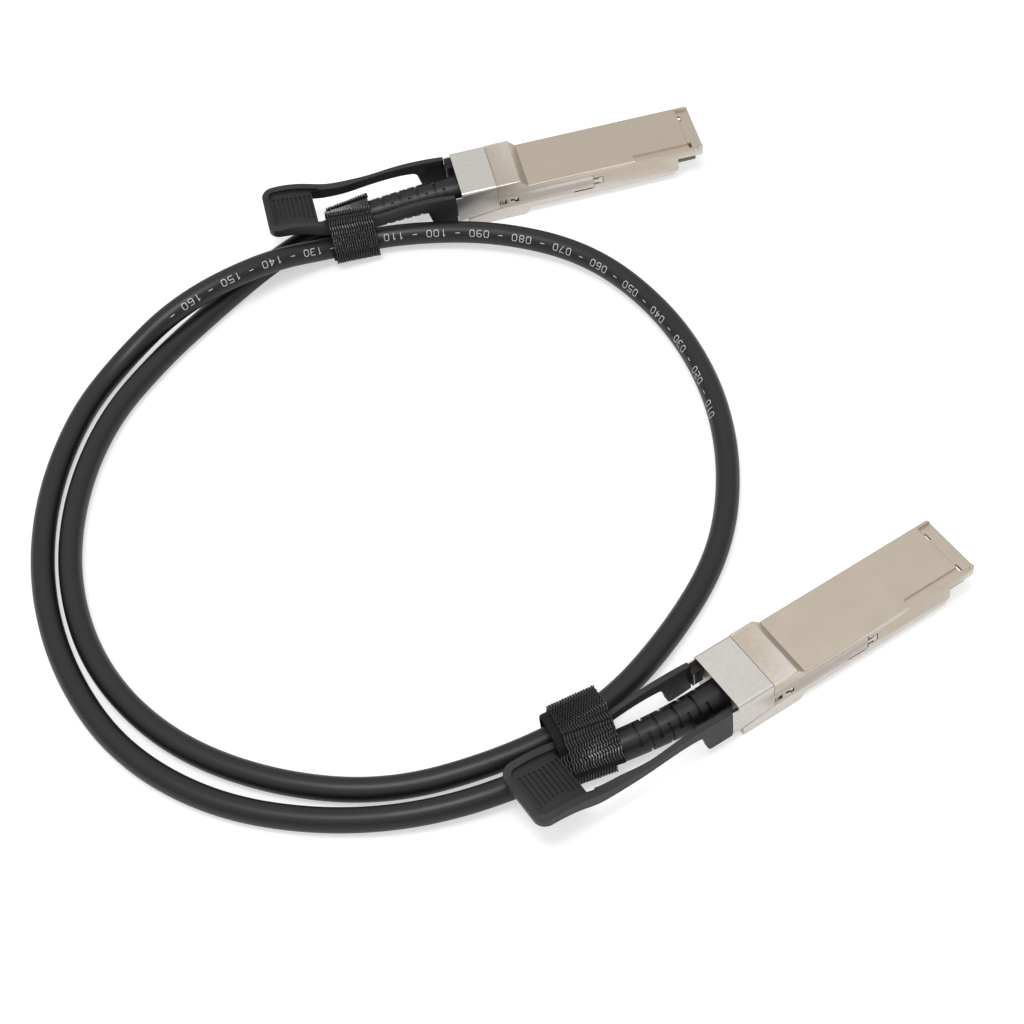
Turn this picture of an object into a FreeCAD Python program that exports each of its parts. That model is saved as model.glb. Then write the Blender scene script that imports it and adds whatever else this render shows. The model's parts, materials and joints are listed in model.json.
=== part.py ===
import FreeCAD, Part
import math
import os
from FreeCAD import Placement, Rotation, Vector

# Passive direct attach copper cable: two quad-lane pluggable plugs on one round
# cable, each with a sheet latch slider, a moulded pull tab and a strain relief,
# and two hook-and-loop straps round the loop of cable.
#
# Millimetres. +X runs along plug A to its mating end, +Z is up, the table is z = 0,
# and the origin lies under the middle of the two plugs. A plug is modelled in its
# own frame (x = 0 at the latch slider's rear top edge, y = 0 on its centre line).

# ---- where the plugs lie -------------------------------------------------------
plugSpots = {"a": (-18.4, 105.0, 0.0), "b": (4.6, -86.0, 20.0)}   # x, y, turn in degrees

# ---- plug casing ---------------------------------------------------------------
plugWidth = 18.35
bodyHeight = 8.5            # the part that enters the cage
rearRise = 2.35             # raised back, above the body's top
rearDrop = 2.35             # deep back, below the body's bottom
shellRear = 1.2             # rear face of both shells, inside the slider
seamX = 10.4                # front edge of the slider's top
raisedEndX = 17.4
slopeEndX = 19.7
deepEndX = 17.9             # end of the deep back, before its slope
lipX = 72.3                 # front edge of the upper shell
noseX = 64.6                # front edge of the lower shell
stripX = 68.3               # start of the recessed front strip
wall = 1.2
splitZ = 4.4                # parting plane of the shells
lipUnderZ = 7.8             # lower edge of the side walls in front of the nose
stripDepth = 0.8
rimWidth = 0.9
notchStartX = 51.7
notchWidth = 2.6
notchDepth = 0.5
rearBlockX = 10.2           # front face of the solid back that holds the ferrule
edgeRound = 0.35
ceiling = 1.5               # thickness of the upper shell's top
frontWall = 0.87            # side walls beside the card's head

# ---- latch slider --------------------------------------------------------------
sheet = 0.35
slip = 0.08                 # clearance between the slider and the shells
bendRound = 0.8
sideRearX = -1.9            # rear edge of the side panels
armTopZ = 9.0
armBottomZ = 4.5
armTipX = 38.8
hookX = 41.6                # front of the T-shaped hook
hookHeight = 2.0
hookLength = 1.1
stemHeight = 1.1
sideRearBottomZ = 3.1
travel = 1.8                # how far the tab pulls the slider back

# ---- pull tab ------------------------------------------------------------------
tabArmWidth = 1.4           # beside the boot
tabArmRearWidth = 2.2       # where the arms join the grip
tongueWidth = 2.0           # the part of the tab held inside the slider
gripFrontX = -42.1
gripRearX = -56.4
gripRimZ = 15.3
gripFloorDepth = 0.75
gripRimWidth = 2.0
gripCorner = 3.2
grooveCount = 9
grooveWidth = 0.55
grooveDepth = 0.35
footEndX = -9.3             # rear face of the deep foot behind the slider
footBottomZ = 2.9
tabFrontX = -2.1
grooveInset = 1.4
tongueX = 0.9               # front of the tab's tongue, inside the slider

# ---- card and wires ------------------------------------------------------------
cardThick = 1.0
cardTopZ = 6.6
cardRearX = 29.0
cardFrontX = 70.3
cardHeadWidth = 16.42
cardBodyWidth = 15.0
contactsPerSide = 19
contactPitch = 0.8
contactWidth = 0.54
contactLength = 2.4
contactThick = 0.04
pairsPerSide = 4
pairPitch = 3.1
pairRadius = 0.45

# ---- cable, boot, ferrule ------------------------------------------------------
cableOd = 6.3
cableZ = 6.5                # axis of the cable inside the plug
bootLength = 29.0           # from the shells' rear edge, along the boot's bent axis
bootFrontX = 2.6
bootRootRadius = 4.6
bootTailRadius = 4.0
bootBends = {"a": (300.0, -130.0), "b": (120.0, -14.0)}   # radius; side it bends to, 0 = left
bootCollarRadius = 5.2      # flange captured behind the shells' rear wall
bootSlotPitch = 5.2
bootFirstSlot = 4.2
bootSlotCount = 4
bootSlotWidth = 0.8
bootSlotAngle = 128.0
bootCore = 0.45             # wall left under the slots
ferruleWall = 0.75
crimpDepth = 0.25
ferruleRearX = 3.4
ferruleFrontX = 9.6
looseFit = 0.05             # radial clearance between stacked round pieces

# ---- screws and springs --------------------------------------------------------
screwXs = (23.5, 60.0)
screwY = 6.7
screwRadius = 0.7
screwHeadRadius = 1.3
screwHeadHeight = 0.7
bossRadius = 1.35
springRadius = 0.75         # to the middle of the wire
springWire = 0.26
springTurns = 4
springRearX = 5.0
springFrontX = 11.0
springZ = 6.5
windowRearX = 10.7
windowLength = 2.1
windowHeight = 1.5
catchRearX = 13.9           # the second window, beside the catch
catchLength = 2.5
tipSlotX = 33.0             # slot in the shells under the arm's tip
tipSlotHeight = 0.35

# ---- cable route on the cable's axis, after the straight run behind boot A ---------
leadRun = 15.0              # straight run behind each boot
floorZ = cableOd / 2
cableRoute = [
    (-78.5, 95.3, floorZ),
    (-94.5, 83.6, floorZ),
    (-112.5, 69.3, floorZ),
    (-130.5, 50.5, floorZ),
    (-142.5, 24.5, floorZ),
    (-147.0, -4.0, floorZ),
    (-142.5, -33.0, floorZ),
    (-128.0, -58.5, floorZ),
    (-105.5, -77.0, floorZ),
    (-78.5, -88.0, floorZ),
    (-49.5, -86.4, 4.6),
    (-22.5, -81.0, 4.6),
    (0.0, -63.0, floorZ),
    (19.0, -41.5, floorZ),
    (29.5, -14.0, floorZ),
    (32.3, 14.7, floorZ),
    (27.2, 43.5, floorZ),
    (13.0, 69.5, 4.6),
    (-10.5, 85.6, 5.6),
    (-37.5, 94.6, 4.4),
    (-58.0, 95.4, 4.9),
    (-78.0, 89.5, 11.2),
    (-104.0, 80.0, 11.3),
    (-124.5, 70.0, floorZ),
    (-138.5, 53.5, floorZ),
    (-149.8, 27.0, floorZ),
    (-154.0, -1.7, floorZ),
    (-150.8, -30.5, floorZ),
    (-140.0, -58.0, floorZ),
    (-120.0, -79.3, floorZ),
    (-94.0, -92.5, floorZ),
    (-67.0, -98.4, 4.4),
]

# ---- straps: plug, middle on the plug's axis, turn against it, side of the arm ------
strapWidth = 12.8
strapThick = 0.8
strapSlack = 0.2            # inside the loop, round the boot's tail
strapRearSlack = 0.6        # inside the loop, round the bare cable behind the boot
strandSlack = 0.35          # inside the loop, round the passing strand
strapArmGap = 0.7           # inside the loop, over the moving tab arm
strapArmCorner = 0.5
strapSpots = {"a": (-32.7, 0.0, -1), "b": (-34.2, -17.0, 1)}

# ---- sizes that follow -------------------------------------------------------------
halfWidth = plugWidth / 2
rearHeight = rearDrop + bodyHeight + rearRise
bodyTopZ = rearDrop + bodyHeight
seatZ = rearHeight - sheet - slip       # the shell under the slider's top
seatY = halfWidth - sheet - slip        # the shell under the slider's sides
cableRadius = cableOd / 2
ferruleRadius = cableRadius + looseFit + ferruleWall
dishReach = halfWidth - gripRimWidth


def box(x0, x1, y0, y1, z0, z1):
    return Part.makeBox(x1 - x0, y1 - y0, z1 - z0, Vector(x0, y0, z0))


def sideProfile(points, y0, y1):
    """Extrude an outline in the XZ plane from y0 to y1."""
    corners = [Vector(x, y0, z) for x, z in points]
    face = Part.Face(Part.makePolygon(corners + corners[:1]))
    return face.extrude(Vector(0, y1 - y0, 0))


def planProfile(wire, z0, z1):
    """Extrude a closed wire drawn at z = 0 from z0 to z1."""
    wire = wire.copy()
    wire.translate(Vector(0, 0, z0))
    return Part.Face(wire).extrude(Vector(0, 0, z1 - z0))


def rodX(radius, x0, x1, y=0.0, z=0.0):
    return Part.makeCylinder(radius, x1 - x0, Vector(x0, y, z), Vector(1, 0, 0))


def rodZ(radius, x, y, z0, z1):
    return Part.makeCylinder(radius, z1 - z0, Vector(x, y, z0))


def bothSides(shape):
    return [shape, shape.mirror(Vector(0, 0, 0), Vector(0, 1, 0))]


def roundWhere(shape, radius, wanted):
    """Fillet the edges whose middle point the test accepts."""
    edges = [e for e in shape.Edges if wanted(e.valueAt((e.FirstParameter + e.LastParameter) / 2), e)]
    return shape.makeFillet(radius, edges) if edges else shape


# ---- casing ------------------------------------------------------------------------
def casingBlank():
    """The two shells as one closed block, stepped like the finished plug."""
    outline = [
        (shellRear, 0), (deepEndX, 0), (slopeEndX, rearDrop), (noseX - 1.6, rearDrop),
        (noseX, rearDrop + 1.6), (noseX, lipUnderZ), (lipX, lipUnderZ), (lipX, bodyTopZ),
        (slopeEndX, bodyTopZ), (raisedEndX, rearHeight), (shellRear, rearHeight),
    ]
    blank = sideProfile(outline, -halfWidth, halfWidth)
    blank = roundWhere(blank, 0.9, isFrontCorner)
    return roundWhere(blank, edgeRound, isLongTopEdge)


def isLongTopEdge(middle, edge):
    onSide = abs(abs(middle.y) - halfWidth) < 0.01
    return onSide and middle.z > bodyTopZ - 0.01 and middle.x > 5 and middle.x < lipX - 0.5


def sliderRecess():
    """Everything the slider's top, sides and arms need cut from the casing."""
    top = box(shellRear, seamX + 0.12, -halfWidth, halfWidth, seatZ, rearHeight)
    side = sideProfile(
        [(shellRear, sideRearBottomZ - slip), (seamX + 1.5, splitZ), (seamX + 0.12, splitZ),
         (seamX + 0.12, rearHeight), (shellRear, rearHeight)], seatY, halfWidth)
    arm = box(seamX, armTipX + 0.35, seatY, halfWidth, splitZ, armTopZ + slip)
    hookMid = (armTopZ + armBottomZ) / 2
    hookPocket = box(armTipX - travel, hookX + 0.35, seatY, halfWidth,
                     hookMid - hookHeight / 2 - 0.25, hookMid + hookHeight / 2 + 0.25)
    springPocket = box(springRearX, springFrontX + 0.6, seatY - 2 * springRadius - 0.7, halfWidth,
                       springZ - springRadius - 0.35, springZ + springRadius + 0.35)
    catchPocket = box(windowRearX + 1.6, catchRearX + catchLength + 0.2, seatY - 1.3, halfWidth,
                      springZ - windowHeight / 2 - 0.2, springZ + windowHeight / 2 + 0.2)
    tipSlot = box(tipSlotX, armTipX - 0.3, seatY - 0.9, halfWidth, splitZ - tipSlotHeight, splitZ + 0.01)
    sides = []
    for piece in (side, arm, hookPocket, springPocket, catchPocket, tipSlot):
        sides += bothSides(piece)
    return [top] + sides + bothSides(seatCorner())


def seatCorner():
    """What rounds the shell's shoulder to follow the slider's bend."""
    square = box(shellRear, seamX + 0.12, seatY - bendRound, halfWidth, seatZ - bendRound, rearHeight)
    return square.cut(rodX(bendRound, shellRear - 1, seamX + 1, seatY - bendRound, seatZ - bendRound))


def boreSlot(radius, x0, x1):
    """A round seat for the cable parts, open downward to the parting plane."""
    seat = rodX(radius, x0, x1, 0, cableZ)
    throat = box(x0, x1, -radius, radius, 0.9, cableZ)
    return seat, throat


def casingCavity(upper):
    """The hollow inside the casing; the upper half of each seat has straight sides."""
    ceilingZ = bodyTopZ - ceiling
    inside = [box(slopeEndX - 3, noseX - wall, -halfWidth + wall, halfWidth - wall,
                  rearDrop + wall, ceilingZ),
              box(noseX - wall - 1, lipX + 1, -halfWidth + frontWall, halfWidth - frontWall,
                  splitZ, ceilingZ),
              box(rearBlockX, slopeEndX - 2, -5.2, 5.2, wall, ceilingZ)]
    seats = [(bootRootRadius, shellRear - 1, 1.9),
             (bootCollarRadius, 1.7, bootFrontX + 0.1),
             (ferruleRadius + looseFit, bootFrontX, rearBlockX + 0.5)]
    for radius, x0, x1 in seats:
        seat, throat = boreSlot(radius, x0, x1)
        inside.append(seat)
        if upper:
            inside.append(throat)
    return inside


def upperShell():
    shell = casingBlank().common(box(-5, 90, -20, 20, splitZ, 30))
    shell = shell.cut(sliderRecess() + casingCavity(True) + [frontStrip(), sideNotch()])
    posts = [box(40, 42, y - 1, y + 1, cardTopZ, bodyTopZ - ceiling + 0.1) for y in (-4.5, 4.5)]
    bosses = [rodZ(bossRadius, x, y, splitZ, bodyTopZ - ceiling + 0.1) for x, y in screwSpots()]
    shell = shell.fuse(posts + bosses)
    pilots = [rodZ(screwRadius, x, y, splitZ - 1, splitZ + 2.6) for x, y in screwSpots()]
    slots = [box(stripX + 0.1, stripX + 1.0, y - 1.1, y + 1.1, bodyTopZ - 3.5, bodyTopZ + 1)
             for y in (5.2, -6.6)]
    return shell.cut(pilots + slots)


def isFrontCorner(middle, edge):
    upright = abs(edge.tangentAt(edge.FirstParameter).z) > 0.99
    return upright and middle.x > lipX - 0.01 and abs(middle.y) > halfWidth - 0.01


def frontStrip():
    """The shallow recess across the front, between its two raised ears."""
    return box(stripX, lipX + 1, -halfWidth + rimWidth, halfWidth - rimWidth,
               bodyTopZ - stripDepth, bodyTopZ + 1)


def sideNotch():
    """The keying rebate along one top edge, stopping short of the front ear."""
    return box(notchStartX, lipX - 1.3, -halfWidth - 1, -halfWidth + notchWidth,
               bodyTopZ - notchDepth, bodyTopZ + 1)


def screwSpots():
    return [(x, y) for x in screwXs for y in (-screwY, screwY)]


def lowerShell():
    shell = casingBlank().common(box(-5, noseX + 0.01, -20, 20, -1, splitZ))
    shell = shell.cut(sliderRecess() + casingCavity(False))
    rests = [box(40, 42, y - 1, y + 1, rearDrop + wall - 0.1, cardTopZ - cardThick) for y in (-4.5, 4.5)]
    bosses = [rodZ(bossRadius, x, y, rearDrop + wall - 0.1, splitZ) for x, y in screwSpots()]
    shell = shell.fuse(rests + bosses)
    holes = []
    for x, y in screwSpots():
        holes.append(rodZ(screwRadius + 0.1, x, y, 0, splitZ + 1))
        holes.append(rodZ(screwHeadRadius + 0.1, x, y, rearDrop - 1, rearDrop + screwHeadHeight))
    return shell.cut(holes)


def shellScrews():
    screws = []
    for x, y in screwSpots():
        head = rodZ(screwHeadRadius, x, y, rearDrop + 0.05, rearDrop + screwHeadHeight)
        shank = rodZ(screwRadius, x, y, rearDrop + screwHeadHeight - 0.01, splitZ + 2.5)
        drive = rodZ(0.45, x, y, rearDrop - 0.5, rearDrop + 0.4)
        screws.append(head.fuse(shank).cut(drive))
    return Part.makeCompound(screws)


# ---- latch slider ------------------------------------------------------------------
def sliderSection(x0, x1):
    """The U-shaped sheet section, open downward, with bent upper corners."""
    outer = box(x0, x1, -halfWidth, halfWidth, 0, rearHeight)
    inner = box(x0 - 1, x1 + 1, -halfWidth + sheet, halfWidth - sheet, -1, rearHeight - sheet)
    outer = roundWhere(outer, bendRound, isUpperLongEdge(rearHeight))
    inner = roundWhere(inner, bendRound - sheet, isUpperLongEdge(rearHeight - sheet))
    return outer.cut(inner)


def isUpperLongEdge(height):
    def wanted(middle, edge):
        along = abs(edge.tangentAt(edge.FirstParameter).x) > 0.99
        return along and abs(middle.z - height) < 0.01
    return wanted


def latchSlider():
    collar = sliderSection(sideRearX, seamX)
    collar = collar.cut([
        box(sideRearX - 1, 0, -20, 20, rearHeight - 1.3, 30),
        sideProfile([(-5, -1), (20, -1), (20, armBottomZ), (seamX + 1, armBottomZ),
                     (sideRearX, sideRearBottomZ), (-5, sideRearBottomZ)], -20, 20),
    ])
    hookMid = (armTopZ + armBottomZ) / 2
    arm = box(seamX - 0.5, armTipX, halfWidth - sheet, halfWidth, armBottomZ, armTopZ)
    arm = roundWhere(arm, 0.6, lambda middle, edge: middle.x > armTipX - 0.01
                     and abs(edge.tangentAt(edge.FirstParameter).y) > 0.99)
    stem = box(armTipX - 0.5, hookX, halfWidth - sheet, halfWidth,
               hookMid - stemHeight / 2, hookMid + stemHeight / 2)
    hook = box(hookX - hookLength, hookX, halfWidth - sheet, halfWidth,
               hookMid - hookHeight / 2, hookMid + hookHeight / 2)
    flange = box(sideRearX, sideRearX + sheet, halfWidth - 2.4, halfWidth - 0.1, 5.0, 9.6)
    flange = flange.cut(rodX(0.8, sideRearX - 1, sideRearX + 1, halfWidth - 1.5, 7.3))
    springTab = box(springFrontX, springFrontX + sheet, seatY - 1.9, halfWidth - 0.1,
                    springZ - springRadius, springZ + springRadius)
    pieces = []
    for piece in (arm, stem, hook, flange, springTab):
        pieces += bothSides(piece)
    slider = collar.fuse(pieces)
    return slider.cut(sliderWindows())


def sliderWindows():
    """The two lanced windows in each side, just ahead of the seam."""
    low = springZ - windowHeight / 2
    window = box(windowRearX, springFrontX, 0, 20, low, low + windowHeight)
    front = box(springFrontX + sheet, windowRearX + windowLength, 0, 20, low, low + windowHeight)
    catchX = catchRearX
    catch = box(catchX, catchX + catchLength, 0, 20, low, low + windowHeight)
    catch = catch.cut([box(catchX, catchX + 1.2, 0, 20, low, low + 0.6),
                       box(catchX + 1.2, catchX + 2.1, 0, 20, low + 0.9, low + 2)])
    cuts = []
    for piece in (window, front, catch):
        cuts += bothSides(piece)
    return cuts


# ---- pull tab ------------------------------------------------------------------------
def tabTopPoints():
    """The tab's upper edge seen from the side, from the foot back to the grip."""
    return [Vector(tabFrontX, 0, 12.4), Vector(-10, 0, 13.0), Vector(-17, 0, 12.8), Vector(-24, 0, 12.0),
            Vector(-31, 0, 11.8), Vector(-38, 0, 12.4), Vector(-44, 0, 14.3), Vector(-49, 0, gripRimZ),
            Vector(gripRearX, 0, gripRimZ - 0.4)]


def tabBottomPoints():
    """The tab's lower edge seen from the side, from the grip forward to the foot."""
    return [Vector(gripRearX, 0, 12.8), Vector(-50, 0, 12.5), Vector(-45, 0, 11.2), Vector(-41, 0, 9.6),
            Vector(-36, 0, 9.0), Vector(-29, 0, 8.95), Vector(-22, 0, 9.5), Vector(-15, 0, 10.0),
            Vector(footEndX - 2.5, 0, 9.8)]


def splineEdge(points):
    curve = Part.BSplineCurve()
    curve.interpolate(points)
    return curve.toShape()


def tabSideView():
    """The tab seen from the side: deep rounded foot, dipping arm, raised grip."""
    top = tabTopPoints()
    bottom = tabBottomPoints()
    neck = Vector(footEndX - 1.0, 0, 8.3)
    heel = Vector(footEndX, 0, footBottomZ + 1.5)
    sole = Vector(footEndX + 1.3, 0, footBottomZ)
    toe = Vector(tabFrontX, 0, footBottomZ)
    edges = [splineEdge(top), Part.makeLine(top[-1], bottom[0]), splineEdge(bottom),
             Part.Arc(bottom[-1], Vector(footEndX - 1.45, 0, 9.3), neck).toShape(),
             Part.makeLine(neck, heel),
             Part.Arc(heel, Vector(footEndX + 0.38, 0, footBottomZ + 0.38), sole).toShape(),
             Part.makeLine(sole, toe), Part.makeLine(toe, top[0])]
    face = Part.Face(Part.Wire(edges))
    face.translate(Vector(0, -halfWidth, 0))
    return face.extrude(Vector(0, plugWidth, 0))


def tabPlan():
    """The tab seen from above: rounded grip at the rear, one long gap between the arms."""
    grip = box(gripRearX, gripFrontX, -halfWidth, halfWidth, 0, 30)
    grip = roundWhere(grip, gripCorner, lambda middle, edge: middle.x < gripRearX + 0.01
                      and abs(edge.tangentAt(edge.FirstParameter).z) > 0.99)
    return grip.fuse(bothSides(tabArmPlan()))


def tabArmPlan():
    """One arm from above, wider where it joins the grip."""
    rearY = halfWidth - tabArmRearWidth
    frontY = halfWidth - tabArmWidth
    inner = [Vector(gripFrontX - 3, rearY - 0.8, 0), Vector(gripFrontX + 2, rearY - 0.2, 0),
             Vector(-33, rearY, 0), Vector(-27, frontY - 0.1, 0), Vector(-18, frontY, 0),
             Vector(tabFrontX, frontY, 0)]
    frontCorner = Vector(tabFrontX, halfWidth, 0)
    rearCorner = Vector(gripFrontX - 3, halfWidth, 0)
    wire = Part.Wire([splineEdge(inner), Part.makeLine(inner[-1], frontCorner),
                      Part.makeLine(frontCorner, rearCorner), Part.makeLine(rearCorner, inner[0])])
    return planProfile(wire, 0, 30)


def pullTab(slider):
    tab = tabSideView().common(tabPlan())
    tongue = box(tabFrontX - 0.1, tongueX, halfWidth - sheet - tongueWidth, halfWidth - sheet, 4.9, 9.7)
    tab = tab.fuse(bothSides(tongue))
    tab = tab.cut([gripDish()] + gripGrooves())
    return tab.cut(slider)


def gripDish():
    """The dished thumb pad, open towards the plug; its floor follows the grip's top."""
    dish = box(gripRearX + gripRimWidth, gripFrontX + 2, -dishReach, dishReach, 0, 30)
    dish = roundWhere(dish, 1.4, lambda middle, edge: middle.x < gripRearX + gripRimWidth + 0.01
                      and abs(edge.tangentAt(edge.FirstParameter).z) > 0.99)
    return dish.cut(loweredTab(gripFloorDepth))


def loweredTab(depth):
    """Everything below the tab's top surface moved down by a depth."""
    kept = tabSideView()
    kept.translate(Vector(0, 0, -depth))
    return kept.fuse(box(-60, -20, -20, 20, -5, 12))


def gripGrooves():
    """Grip grooves across the tab; their ends follow a bowed line."""
    grooves = []
    floor = loweredTab(gripFloorDepth + grooveDepth)
    span = gripFrontX - gripRearX - gripRimWidth - 2.0
    for i in range(grooveCount):
        x = gripRearX + gripRimWidth + 0.8 + span * i / (grooveCount - 1)
        bow = 1.0 - abs(i - (grooveCount - 1) / 2) / grooveCount
        half = dishReach - grooveInset - 1.6 * bow
        grooves.append(box(x, x + grooveWidth, -half, half, 0, 30).cut(floor))
    return grooves


# ---- card, contacts, wires ---------------------------------------------------------
def paddleCard():
    low = cardTopZ - cardThick
    body = box(cardRearX, noseX + 0.4, -cardBodyWidth / 2, cardBodyWidth / 2, low, cardTopZ)
    head = box(noseX + 0.3, cardFrontX, -cardHeadWidth / 2, cardHeadWidth / 2, low, cardTopZ)
    head = roundWhere(head, 0.6, lambda middle, edge: middle.x > cardFrontX - 0.01
                      and abs(edge.tangentAt(edge.FirstParameter).z) > 0.99)
    reliefs = [rodZ(bossRadius + 0.2, x, y, low - 1, cardTopZ + 1) for x, y in screwSpots() if x > cardRearX]
    return body.fuse(head).cut(reliefs)


def contactPads():
    pads = []
    for i in range(contactsPerSide):
        y = (i - (contactsPerSide - 1) / 2) * contactPitch - contactWidth / 2
        x1 = cardFrontX - 0.7
        for z in (cardTopZ, cardTopZ - cardThick - contactThick):
            pads.append(box(x1 - contactLength, x1, y, y + contactWidth, z, z + contactThick))
    return Part.makeCompound(pads)


def cardChips():
    """The identity memory and its two capacitors, on the card's upper side."""
    chips = [box(46, 49, -2.1, 2.1, cardTopZ, cardTopZ + 0.9),
             box(44, 44.6, -1.2, -0.2, cardTopZ, cardTopZ + 0.5),
             box(44, 44.6, 0.4, 1.4, cardTopZ, cardTopZ + 0.5)]
    return Part.makeCompound(chips)


def pairHeight(above):
    return cardTopZ + pairRadius if above else cardTopZ - cardThick - pairRadius


def twinaxPairs():
    pairs = []
    for above in (True, False):
        for i in range(pairsPerSide):
            spread = i - (pairsPerSide - 1) / 2
            y = spread * pairPitch
            side = 1 if above else -1
            start = Vector(ferruleFrontX, spread * 1.35, cableZ + side * 0.85)
            turn = Vector(cardRearX - 3.5, y, pairHeight(above))
            end = Vector(cardRearX + 3.0, y, pairHeight(above))
            path = Part.Wire([Part.makeLine(start, turn), Part.makeLine(turn, end)])
            section = Part.Wire(Part.makeCircle(pairRadius, start, turn - start))
            pairs.append(path.makePipeShell([section], True, False, 1))
    return Part.makeCompound(pairs)


def wirePotting(card, pairs):
    """Moulded bar that grips the wires where they are soldered to the card."""
    bar = box(cardRearX - 2.0, cardRearX + 1.6, -cardBodyWidth / 2 + 1.0, cardBodyWidth / 2 - 1.0,
              cardTopZ - cardThick - 1.2, cardTopZ + 1.2)
    return bar.cut([card, pairs])


# ---- ferrule and boot ---------------------------------------------------------------
def crimpFerrule():
    ring = rodX(ferruleRadius, ferruleRearX, ferruleFrontX, 0, cableZ)
    bead = rodX(ferruleRadius - crimpDepth, ferruleRearX + 2.2, ferruleRearX + 3.4, 0, cableZ)
    ring = ring.cut([rodX(ferruleRadius + 1, ferruleRearX + 2.2, ferruleRearX + 3.4, 0, cableZ).cut(bead)])
    return ring.cut(rodX(cableRadius + looseFit, ferruleRearX - 1, ferruleFrontX + 1, 0, cableZ))


def bootPlace(key, behind):
    """The frame on the boot's bent axis, a distance behind the shells; x points forward."""
    radius, toward = bootBends[key]
    angle = behind / radius
    roll = Rotation(Vector(1, 0, 0), toward)
    at = roll.multVec(Vector(-radius * math.sin(angle), radius * (1 - math.cos(angle)), 0))
    turn = Rotation(roll.multVec(Vector(0, 0, 1)), -math.degrees(angle))
    return Placement(at + Vector(0, 0, cableZ), turn)


def bootRadiusAt(behind):
    return bootRootRadius - looseFit - (bootRootRadius - looseFit - bootTailRadius) * behind / bootLength


def bootRing(key, behind):
    ring = Part.Wire(Part.makeCircle(bootRadiusAt(behind), Vector(0, 0, 0), Vector(1, 0, 0)))
    ring.Placement = bootPlace(key, behind)
    return ring


def bootArc(key):
    points = [bootPlace(key, behind).Base for behind in (0, bootLength / 2, bootLength)]
    return Part.Arc(*points).toShape()


def strainBoot(key):
    """The boot bends with its cable; its front flange is held behind the shells' rear wall."""
    body = Part.makeLoft([bootRing(key, bootLength * i / 3) for i in range(4)], True)
    neck = rodX(bootRootRadius - looseFit, 0, bootFrontX, 0, cableZ)
    flange = rodX(bootCollarRadius - looseFit, 1.9, bootFrontX, 0, cableZ)
    front = Vector(bootFrontX, 0, cableZ)
    axis = Part.Wire([Part.makeLine(front, bootPlace(key, 0).Base), bootArc(key)])
    bore = Part.Wire(Part.makeCircle(cableRadius + looseFit, front, Vector(1, 0, 0)))
    bored = body.fuse([neck, flange]).cut(axis.makePipeShell([bore], True, False, 1))
    return bored.cut(bootSlots(key))


def bootSlots(key):
    """Flex slots: pairs at the sides, alternating with pairs above and below."""
    slots = []
    for i in range(bootSlotCount):
        behind = bootFirstSlot + i * bootSlotPitch
        for middle in (90, 270):
            slots.append(bootSlot(key, behind, middle))
        for middle in (0, 180):
            slots.append(bootSlot(key, behind + bootSlotPitch / 2, middle))
    return slots


def bootSlot(key, behind, middle):
    """One slot: a sector of a ring, cut down to the boot's core."""
    outer = Part.makeCylinder(bootRootRadius + 1, bootSlotWidth, Vector(-bootSlotWidth / 2, 0, 0),
                              Vector(1, 0, 0), bootSlotAngle)
    outer.rotate(Vector(0, 0, 0), Vector(1, 0, 0), middle - bootSlotAngle / 2)
    slot = outer.cut(rodX(cableRadius + bootCore, -2, 2))
    slot.Placement = bootPlace(key, behind).multiply(slot.Placement)
    return slot


# ---- return springs ------------------------------------------------------------------
def returnSprings():
    """Two compression springs, one in each side pocket, pushing the slider forward."""
    y = seatY - springRadius - 0.55
    length = springFrontX - springRearX - springWire
    helix = Part.makeHelix(length / springTurns, length, springRadius)
    half = springWire / 2
    corners = [Vector(springRadius + dx, 0, dz)
               for dx, dz in ((-half, -half), (half, -half), (half, half), (-half, half))]
    section = Part.makePolygon(corners + corners[:1])
    coil = Part.Wire(helix).makePipeShell([section], True, True)
    coil.rotate(Vector(0, 0, 0), Vector(0, 1, 0), 90)
    coil.translate(Vector(springRearX + half, y, springZ))
    return Part.makeCompound(bothSides(coil))


# ---- the cable -----------------------------------------------------------------------
def placed(shape, spot):
    x, y, turn = spot
    shape = shape.copy()
    shape.Placement = Placement(Vector(x, y, 0), Rotation(Vector(0, 0, 1), turn)).multiply(shape.Placement)
    return shape


def spotPoint(spot, x, y, z):
    place = Placement(Vector(spot[0], spot[1], 0), Rotation(Vector(0, 0, 1), spot[2]))
    return place.multVec(Vector(x, y, z))


def cornerArc(before, corner, after):
    """The arc that rounds one corner of the route, as large as its two runs allow."""
    back = before - corner
    ahead = after - corner
    shorter = min(back.Length, ahead.Length)
    turn = math.pi - back.getAngle(ahead)
    reach = 0.45 * shorter
    radius = reach / math.tan(turn / 2)
    back.normalize()
    ahead.normalize()
    start = corner + back * reach
    end = corner + ahead * reach
    inward = (back + ahead).normalize()
    middle = corner + inward * (radius / math.cos(turn / 2) - radius)
    return start, middle, end, radius


def cablePath(points):
    """Straight runs joined by tangent arcs, with the arcs' radii."""
    edges = []
    radii = []
    at = points[0]
    for i in range(1, len(points) - 1):
        start, middle, end, radius = cornerArc(points[i - 1], points[i], points[i + 1])
        edges.append(Part.LineSegment(at, start).toShape())
        edges.append(Part.Arc(start, middle, end).toShape())
        radii.append(radius)
        at = end
    edges.append(Part.LineSegment(at, points[-1]).toShape())
    return edges, radii


def plugSpine(key):
    """The cable's axis at one plug: its end, the shells' rear, mid boot, tail, end of the lead."""
    tail = bootPlace(key, bootLength)
    local = [Vector(ferruleFrontX - 0.6, 0, cableZ), bootPlace(key, 0).Base,
             bootPlace(key, bootLength / 2).Base, tail.Base, tail.multVec(Vector(-leadRun, 0, 0))]
    return [spotPoint(plugSpots[key], *p) for p in local]


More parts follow.
